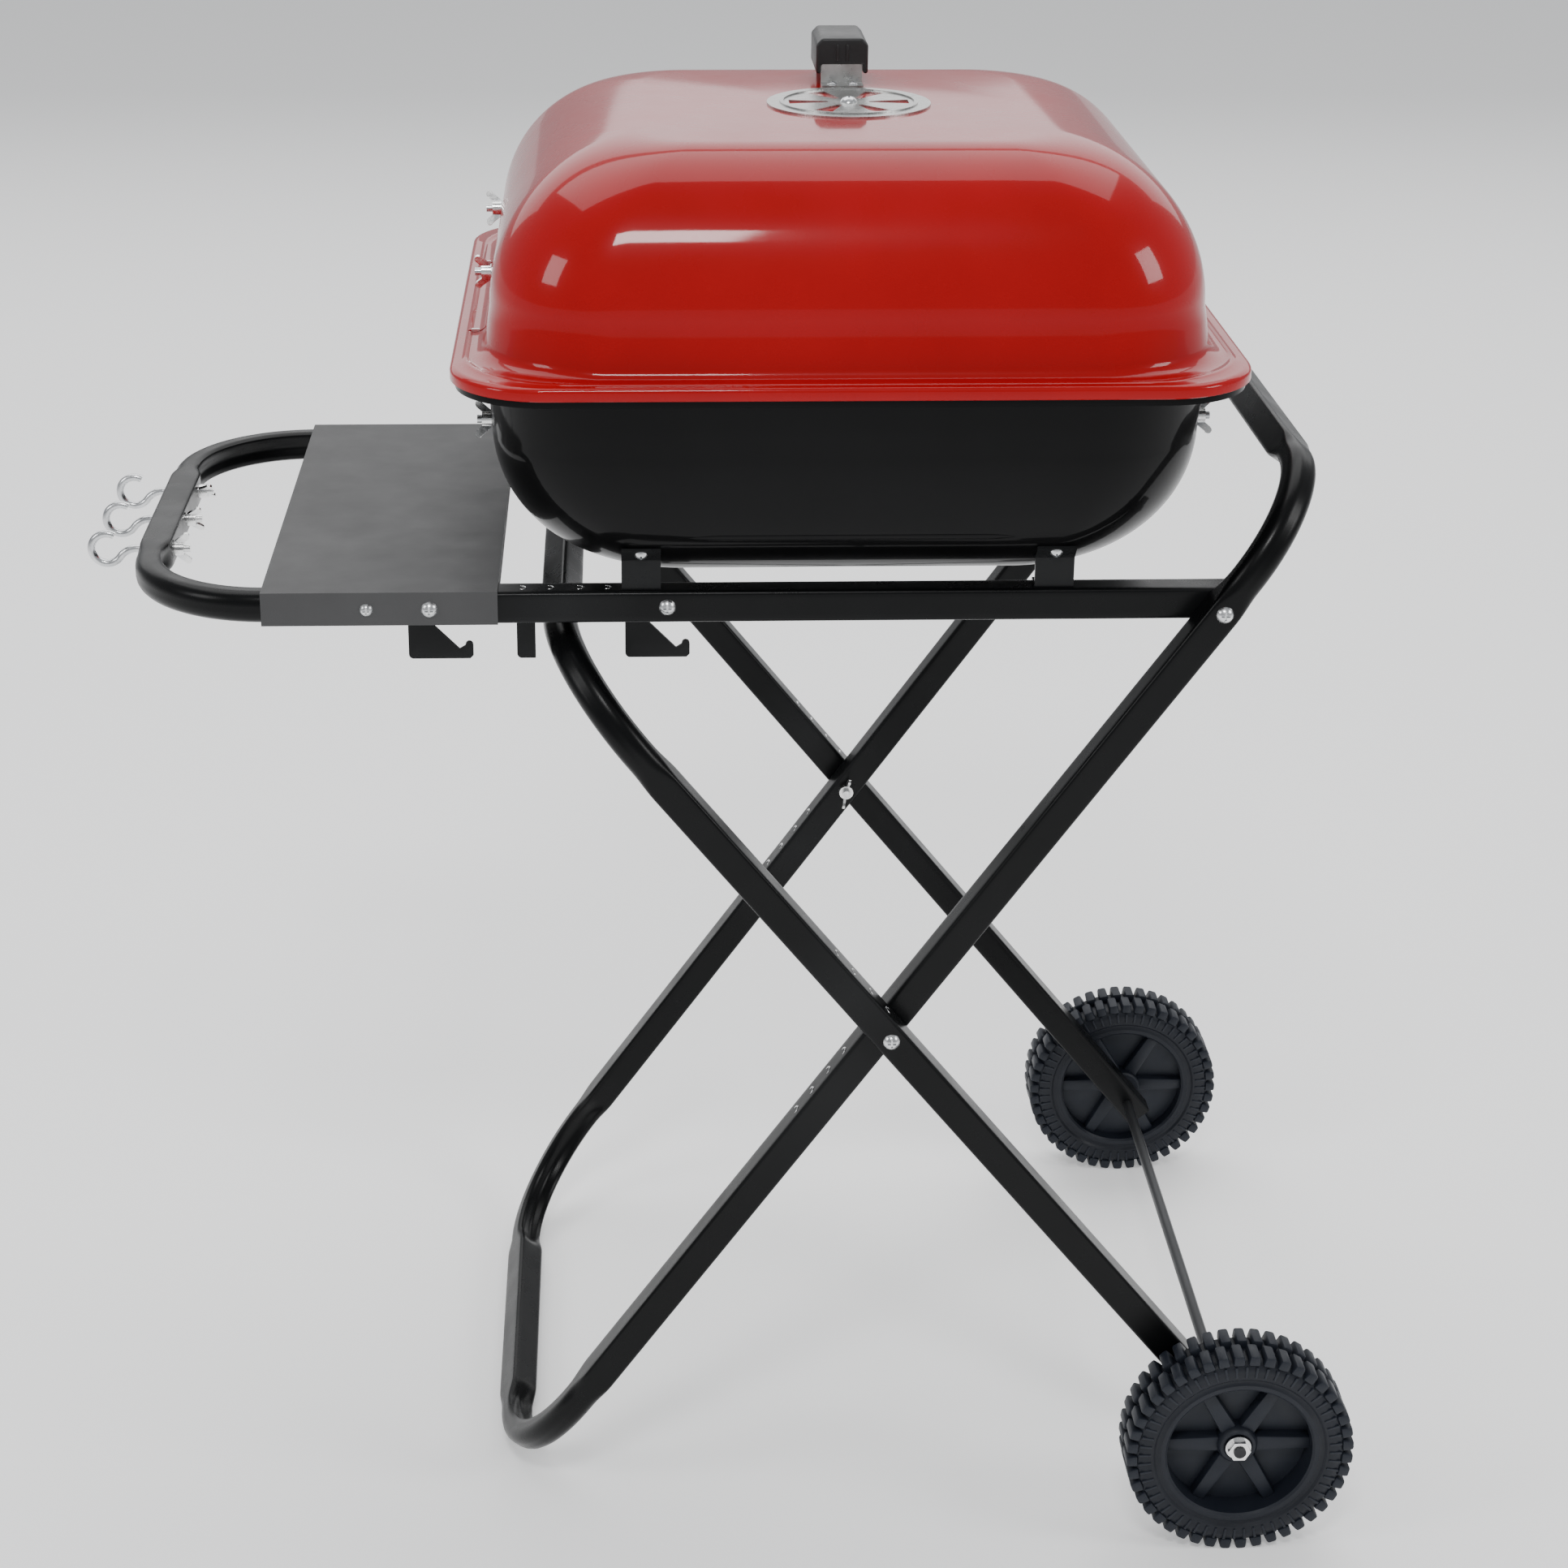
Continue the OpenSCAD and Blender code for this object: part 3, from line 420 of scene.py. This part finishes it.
def bowl_rim(rim, lip):
    """The bowl's flat rim and folded lip, in heights that grow downwards from the rim's top."""
    reach = rim[0] - PAN[0]
    fold = 2.5 * MM
    under = SHEET
    profile = [(0, 9 * MM), (0.2 * MM, 5 * MM), (1.2 * MM, 2.6 * MM), (3 * MM, under),
               (reach * 0.6, under), (reach - SHEET - 0.8 * MM, under),
               (reach - SHEET, under + 0.8 * MM), (reach - SHEET, lip - 0.3 * MM),
               (reach - SHEET * 0.5, lip), (reach, lip - 0.3 * MM)]
    for i in range(6):
        out, down = math.radians(90 - 18 * i), math.radians(18 * i)
        profile.append((reach - fold + fold * math.sin(out), fold * (1 - math.sin(down))))
    return from_wall_to_rim(profile, rim)


def wedges(x, z, r_in, r_out, height=12 * MM):
    """Cutter for the draught slots around a vent."""
    parts = []
    for k in range(SLOTS):
        a = math.radians(VENT_TURN + 360 / SLOTS * k)
        side = r_out * math.sin(math.radians(10))
        shape = [(r_in, -1.5 * MM), (r_out, -side), (r_out, side), (r_in, 1.5 * MM)]
        wedge = prism("wedge", shape, -height / 2, height / 2)
        parts.append(place(wedge, Matrix.Translation((x, 0, z)) @ Matrix.Rotation(a, 4, "Z")))
    return join("wedges", parts)


def hinge_slits(piece, z):
    """Cuts the two slots for the hinge hooks through the flange at height z."""
    x0, x1 = SLIT_X
    for side in (-1, 1):
        low, high = side * HINGE_Y - SLIT_HALF, side * HINGE_Y + SLIT_HALF
        shape = [(x0, low), (x1, low), (x1, high), (x0, high)]
        cut(piece, prism("slit", shape, z - 4 * MM, z + 4 * MM))


def pressed_rib():
    """Long shallow rib pressed into the bowl's lower front edge."""
    rings = []
    steps = 40
    x0, x1 = RIB_X
    t = RIB_ANGLE
    y = -(PAN[1] - DRAFT - BOWL_EDGE[1] * (1 - math.cos(t)))
    z = BOWL_BOTTOM + BOWL_EDGE[2] * (1 - math.sin(t))
    for i in range(steps + 1):
        share = i / steps
        grow = math.sqrt(max(0.02, min(1.0, 12 * share, 12 * (1 - share))))
        ring = []
        for k in range(12):
            a = math.tau * k / 12
            along, proud = 2.6 * MM * grow * math.cos(a), 0.7 * MM * grow * math.sin(a)
            ring.append((x0 + (x1 - x0) * share, y + along * math.sin(t) * 0.75 - proud * math.cos(t),
                         z - along * math.cos(t) - proud * math.sin(t)))
        rings.append(ring)
    dress(shade(skin("pressed_rib", rings), 60), "deck", "black_enamel")


def lid_shell():
    """The red lid with its draught slots and hinge slots."""
    piece = lid_pan(LID_TOP - FLANGE_Z, LID_EDGE, FLANGE, 8 * MM, 7.5 * MM)
    cut(piece, wedges(VENT_X, LID_TOP, 13 * MM, 38 * MM))
    hinge_slits(piece, FLANGE_Z)
    dress(shade(piece, 28), "lid", "red_enamel", "lid")


def bowl_shell():
    """The bowl runs down its outside from the rim, so its shell is built outer first, then inner."""
    rim = (237 * MM, 221 * MM, 55 * MM)
    depth = BOWL_FLANGE_Z - BOWL_BOTTOM
    outer = pan_stations(depth, BOWL_EDGE) + bowl_rim(rim, 11 * MM)
    inner = [(x - SHEET, y - SHEET, r - SHEET, z - SHEET) for x, y, r, z in pan_stations(depth, BOWL_EDGE)]
    lead = [(PAN[0] - SHEET - 0.3 * MM, PAN[1] - SHEET - 0.3 * MM, PAN[2] - SHEET, 2.5 * MM),
            (PAN[0] - SHEET + 0.3 * MM, PAN[1] - SHEET + 0.3 * MM, PAN[2] - SHEET, 0.8 * MM),
            (PAN[0] + 0.6 * MM, PAN[1] + 0.6 * MM, PAN[2], 0)]
    stations = outer + list(reversed(lead)) + list(reversed(inner))
    rings = [outline(x, y, r, BOWL_FLANGE_Z - z) for x, y, r, z in stations]
    piece = skin("bowl_enamel", rings)
    cut(piece, wedges(KETTLE_X, BOWL_BOTTOM, 12 * MM, 36 * MM))
    hinge_slits(piece, BOWL_FLANGE_Z)
    dress(shade(piece, 28), "deck", "black_enamel", "bowl")


# ---- tubes ----

CORNER_R = 2.4 * MM
PINCH_R = 7.6 * MM
PINCH_DEPTH = 5.5 * MM


def section(pinch, half=TUBE / 2):
    """Rounded square as offsets outwards and upwards. In a bend it rounds off and its inner face sinks."""
    radius = (CORNER_R + (PINCH_R - CORNER_R) * pinch) * half / (TUBE / 2)
    points = []
    for quarter in range(4):
        sx, sy = (1, -1, -1, 1)[quarter], (1, 1, -1, -1)[quarter]
        for i in range(6):
            a = math.radians(90) * (quarter + i / 5)
            points.append([sx * (half - radius) + radius * math.cos(a),
                           sy * (half - radius) + radius * math.sin(a)])
        run = half - radius
        side = [(-1, 0), (0, -1), (1, 0), (0, 1)][quarter]
        start = points[-1]
        points += [[start[0] + side[0] * 2 * run * k / 6, start[1] + side[1] * 2 * run * k / 6]
                   for k in range(1, 6)]
    for p in points:
        if p[0] < 0:
            p[0] += pinch * PINCH_DEPTH * math.cos(math.pi / 2 * min(1, abs(p[1]) / half)) ** 1.3
    return points


def ease(t):
    t = max(0.0, min(1.0, t))
    return t * t * (3 - 2 * t)


def u_path(bar, end, half_y, radius):
    """Stations of a U in its own plane: place, outward direction and pinch."""
    s = 1 if bar > end else -1
    start = bar - s * radius
    ramp = 22 * MM
    arm = []
    length = abs(start - end)
    for d in [length, length * 0.7, length * 0.45] + [ramp * k / 6 for k in range(6, 0, -1)]:
        if d <= length:
            arm.append((Vector((start - s * d, half_y)), Vector((0, 1)), 1 - ease(d / ramp)))
    arc = []
    for i in range(25):
        a = math.radians(90 * i / 24)
        out = Vector((s * math.sin(a), math.cos(a)))
        arc.append((Vector((start, half_y - radius)) + out * radius, out, 1.0))
    flat = half_y - radius
    bar_half = []
    for d in [ramp * k / 6 for k in range(1, 7)] + [ramp * 1.8]:
        if d < flat:
            bar_half.append((Vector((bar, flat - d)), Vector((s, 0)), 1 - ease(d / ramp)))
    half_way = arm + arc + bar_half
    far = [(Vector((p.x, -p.y)), Vector((n.x, -n.y)), k) for p, n, k in reversed(half_way)]
    return half_way + far


def tube(name, stations, matrix):
    """A hollow tube through the stations, open at both ends."""
    def ring(place_, out, pinch, half):
        return [matrix @ Vector((place_.x + out.x * u, place_.y + out.y * u, v))
                for u, v in section(pinch, half)]
    outer = [ring(*s, TUBE / 2) for s in stations]
    inner = [ring(*s, TUBE / 2 - WALL) for s in stations]
    return shade(skin(name, outer + list(reversed(inner)), loop=True), 40)


def straight(x0, x1, y):
    out = Vector((0, 1 if y > 0 else -1))
    return [(Vector((x0 + (x1 - x0) * k / 8, y)), out, 0.0) for k in range(9)]


def leg_frame(angle):
    return Matrix.Translation(CROSS) @ Matrix.Rotation(-angle, 4, "Y")


def frames():
    """Every tube of the trolley, each on the line of its CAD node."""
    on_a, on_b = leg_frame(A_ANGLE), leg_frame(B_ANGLE)
    on_deck = Matrix.Translation((0, 0, PIVOT.z))
    rail_end = PIVOT.x + 14 * MM
    runs = (
        ("foot_tube", u_path(A_FOOT, A_SEAM, LEG_A_Y, BEND_R), on_a, "leg_a", "foot_frame"),
        ("handle_tube", u_path(A_HANDLE, A_SEAM, LEG_A_Y, HANDLE_BEND_R), on_a, "leg_a", "handle_frame"),
        ("crossbar_tube", u_path(B_BAR, B_SEAM, LEG_B_Y, BEND_R), on_b, "leg_b", "wheel_frame_top"),
        ("loop_tube", u_path(LOOP_X + TUBE / 2, DECK_SEAM, RAIL_Y, BEND_R), on_deck, "deck", "shelf_loop"),
        ("front_leg_tube", straight(B_END, B_SEAM, -LEG_B_Y), on_b, "leg_b", "wheel_leg_front"),
        ("rear_leg_tube", straight(B_END, B_SEAM, LEG_B_Y), on_b, "leg_b", "wheel_leg_rear"),
        ("front_rail_tube", straight(DECK_SEAM, rail_end, -RAIL_Y), on_deck, "deck", "front_rail"),
        ("rear_rail_tube", straight(DECK_SEAM, rail_end, RAIL_Y), on_deck, "deck", "rear_rail"),
    )
    for name, stations, matrix, body, node in runs:
        dress(tube(name, stations, matrix), body, "black_frame", node)


def lit_crescent(matrix):
    """A painted highlight on one punched crimp mark: a bright crescent that stands for the shine on a
    black-painted dimple.
    """
    rings = []
    steps = 14
    for i in range(steps + 1):
        a = math.radians(-100 + 200 * i / steps)
        thick = 0.55 * MM * math.sin(math.pi * (0.12 + 0.76 * i / steps))
        centre = Vector((3.0 * MM * math.cos(a), 3.0 * MM * math.sin(a), 0.05 * MM))
        out = Vector((math.cos(a), math.sin(a), 0))
        rise = Vector((0, 0, 0.7 * thick))
        rings.append([matrix @ (centre + out * thick * math.cos(b) + rise * math.sin(b))
                      for b in (math.tau * k / 8 for k in range(8))])
    return skin("lit_crescent", rings)


def paint_crimp_highlights():
    """Painted highlights at the punched crimp marks beside each seam of the legs and rails: the dimples are
    as black as the tube, and these bright steel crescents stand for their shine.
    """
    sets = (
        ("leg_a", leg_frame(A_ANGLE), A_SEAM, LEG_A_Y, 1),
        ("leg_b", leg_frame(B_ANGLE), B_SEAM, LEG_B_Y, -1),
        ("deck", Matrix.Translation((0, 0, PIVOT.z)), DECK_SEAM, RAIL_Y, 1),
    )
    for body, matrix, seam, y, face in sets:
        glint_pieces = []
        for side in (-1, 1):
            for c in CRIMPS:
                spot = Matrix.Translation((seam + c, side * y, face * TUBE / 2))
                glint_pieces.append(lit_crescent(matrix @ spot))
        # The crimp marks are real dimples, but their bright steel colour here is a painted highlight.
        dress(shade(join(body + "_crimp_glints", glint_pieces), 50), body, "zinc_steel")


# ---- wheels ----

WHEEL_R, WHEEL_W = 75 * MM, 36 * MM
LUGS = 44
RIBS = 60


def block(x0, x1, half_a, half_b, z0, z1, soft):
    """A bevelled block that widens from half_a at x0 to half_b at x1."""
    shape = [(x0, -half_a), (x1, -half_b), (x1, half_b), (x0, half_a)]
    return bevel(prism("block", shape, z0, z1), soft, 2)


def around(piece, count, phase=0.0):
    """Copies of a piece around +Z."""
    copies = []
    for k in range(count):
        twin = piece.copy()
        twin.data = piece.data.copy()
        bpy.context.scene.collection.objects.link(twin)
        copies.append(place(twin, Matrix.Rotation(math.tau * (k + phase) / count, 4, "Z")))
    bpy.data.objects.remove(piece)
    return copies


def wheel(name, body, node, matrix):
    """A moulded wheel around +Z: tyre, two rows of lugs, side ribs, web, hub and spokes."""
    body_r = WHEEL_R - 5 * MM
    rim_r = WHEEL_R - 27 * MM
    w = WHEEL_W
    wall = ((0, 3), (1.5, 1.6), (4.5, 1.2), (6, 2.2), (8, 2.2),
            (9.5, 0.9), (15, 0.6), (19, 1.6), (21.4, 4), (22, 7))
    side = [(rim_r + r * MM, z * MM) for r, z in wall]
    groove = [(body_r, w / 2 - 2 * MM), (body_r - 1.6 * MM, w / 2 - 1.2 * MM),
              (body_r - 1.6 * MM, w / 2 + 1.2 * MM), (body_r, w / 2 + 2 * MM)]
    far_side = [(r, w - z) for r, z in reversed(side)]
    parts = [lathe("tyre", side + groove + far_side, 132)]
    pitch = math.tau * WHEEL_R / LUGS
    for shift, z0, z1 in ((0, 0.6 * MM, w / 2 - 1.5 * MM), (0.5, w / 2 + 1.5 * MM, w - 0.6 * MM)):
        lug = block(body_r - 2.5 * MM, WHEEL_R, 0.38 * pitch, 0.31 * pitch, z0, z1, 1.5 * MM)
        parts += around(lug, LUGS, shift)
    for z0, z1 in ((0.1 * MM, 2 * MM), (w - 2 * MM, w - 0.1 * MM)):
        rib = block(rim_r + 11 * MM, body_r - 3 * MM, 0.7 * MM, 0.9 * MM, z0, z1, 0.35 * MM)
        parts += around(rib, RIBS)
    web = [(13 * MM, w / 2 - 5 * MM), (rim_r + 1 * MM, w / 2 - 5 * MM),
           (rim_r + 1 * MM, w / 2 - 2 * MM), (13 * MM, w / 2 - 2 * MM)]
    parts.append(lathe("web", web))
    hub = [(4.1, 0), (12.5, 0), (13.8, 1.3), (14, 9), (14, 20), (13, 25.6), (11.6, 27), (9.6, 27),
           (8.9, 26), (4.1, 26)]
    parts.append(lathe("hub", [(r * MM, z * MM) for r, z in hub], 64))
    spoke = block(12 * MM, rim_r + 1 * MM, 5.6 * MM, 4.4 * MM, 6 * MM, 24 * MM, 1.6 * MM)
    parts += around(spoke, 6)
    piece = join(name, parts)
    place(piece, matrix)
    dress(shade(piece, 35), body, "wheel_plastic", node)


def wheels():
    inner = LEG_B_Y + TUBE / 2 + 6 * MM
    turn = Matrix.Rotation(math.radians(90), 4, "X")
    wheel("front_wheel_moulding", "wheel_front", "front_wheel",
          Matrix.Translation((AXLE.x, -inner, AXLE.z)) @ turn)
    wheel("rear_wheel_moulding", "wheel_rear", "rear_wheel",
          Matrix.Translation((AXLE.x, inner, AXLE.z)) @ turn.inverted())


# ---- grip ----

def grip():
    """The lid's grip: a soft-edged channel over the strap, with two ridges along it."""
    low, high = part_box("lid_grip")
    lip = 1 * MM
    y0, y1 = low.y + lip, high.y - lip
    half, foot = (high.x - low.x) / 2, low.z
    bridge = LID_TOP + 14 * MM
    channel = 13.7 * MM
    shape = [(-half, foot), (-channel, foot), (-channel, bridge), (channel, bridge), (channel, foot),
             (half, foot), (half, high.z - 4 * MM), (half - 4 * MM, high.z),
             (-half + 4 * MM, high.z), (-half, high.z - 4 * MM)]
    body = skin("grip_body", [[(VENT_X + x, y, z) for x, z in shape] for y in (y0, y1)])
    parts = [bevel(body, 1.6 * MM, 4)]
    for x in (-3.2 * MM, 3.2 * MM):
        rib = [(x - 0.9 * MM, bridge + 2.5 * MM), (x + 0.9 * MM, bridge + 2.5 * MM),
               (x + 0.9 * MM, high.z - 4 * MM), (x - 0.9 * MM, high.z - 4 * MM)]
        ridge = skin("ridge", [[(VENT_X + u, y, v) for u, v in rib] for y in (low.y, high.y)])
        parts.append(bevel(ridge, 0.6 * MM, 3))
    dress(shade(join("grip_moulding", parts), 40), "lid", "grip_plastic", "lid_grip")


lid_shell()
bowl_shell()
pressed_rib()
frames()
paint_crimp_highlights()
wheels()
grip()

for entry in frame["record"]["subparts"]:
    node = frame["nodes"][entry["node"]]
    node.data.materials.clear()
    node.data.materials.append(LOOKS[entry["material_slot"]])

# ---- floor, light and camera ----

def floor():
    reach = 30
    corners = [(-reach, -reach, 0), (reach, -reach, 0), (reach, reach, 0), (-reach, reach, 0)]
    piece = mesh_object("floor", corners, [(0, 1, 2, 3)])
    made, shader = blank("floor")
    set_shader(shader, {"Base Color": (0.96, 0.96, 0.96, 1), "Roughness": 0.9, "Specular IOR Level": 0.1,
                        "Emission Color": (1, 1, 1, 1), "Emission Strength": 0.3})
    piece.data.materials.append(made)


def softbox(name, place_, aim, width, height, power):
    data = bpy.data.lights.new(name, "AREA")
    data.shape = "RECTANGLE"
    data.size, data.size_y, data.energy = width, height, power
    lamp = bpy.data.objects.new(name, data)
    bpy.context.scene.collection.objects.link(lamp)
    lamp.location = place_
    lamp.rotation_euler = (Vector(aim) - Vector(place_)).to_track_quat("-Z", "Y").to_euler()


def lights():
    world = bpy.data.worlds.new("studio")
    world.use_nodes = True
    background = world.node_tree.nodes["Background"]
    background.inputs["Color"].default_value = (0.95, 0.97, 1.0, 1)
    background.inputs["Strength"].default_value = 0.42
    bpy.context.scene.world = world
    middle = (0.05, 0, 0.6)
    softbox("overhead", (0.0, 1.3, 3.8), middle, 4.6, 2.6, 95)
    softbox("front_strip", (-0.22, -2.1, 2.95), middle, 0.7, 0.42, 30)
    softbox("left_panel", (-2.4, -1.2, 1.9), middle, 0.8, 0.9, 16)
    softbox("right_panel", (2.4, -1.0, 1.8), middle, 0.8, 0.9, 20)
    softbox("back_fill", (0.1, 3.8, 2.6), middle, 8.0, 2.2, 80)


def camera():
    """The view from the front: place in metres, angles in radians, lens for a 36 mm sensor."""
    spot = Vector((-0.0663, -1.9160, 1.2609))
    pitch, yaw, roll = 0.3702, 0.0325, 0.0040
    forward = Vector((math.sin(yaw) * math.cos(pitch), math.cos(yaw) * math.cos(pitch), -math.sin(pitch)))
    side = forward.cross(Vector((0, 0, 1))).normalized()
    up = side.cross(forward)
    right = side * math.cos(roll) + up * math.sin(roll)
    over = right.cross(forward)
    data = bpy.data.cameras.new("camera")
    data.sensor_width = 36
    data.lens = 69.29
    data.shift_x, data.shift_y = 0.0446, -0.0633
    data.clip_end = 100
    made = bpy.data.objects.new("camera", data)
    bpy.context.scene.collection.objects.link(made)
    turn = Matrix((right, over, -forward)).transposed().to_4x4()
    made.matrix_world = Matrix.Translation(spot) @ turn
    bpy.context.scene.camera = made


floor()
lights()
camera()
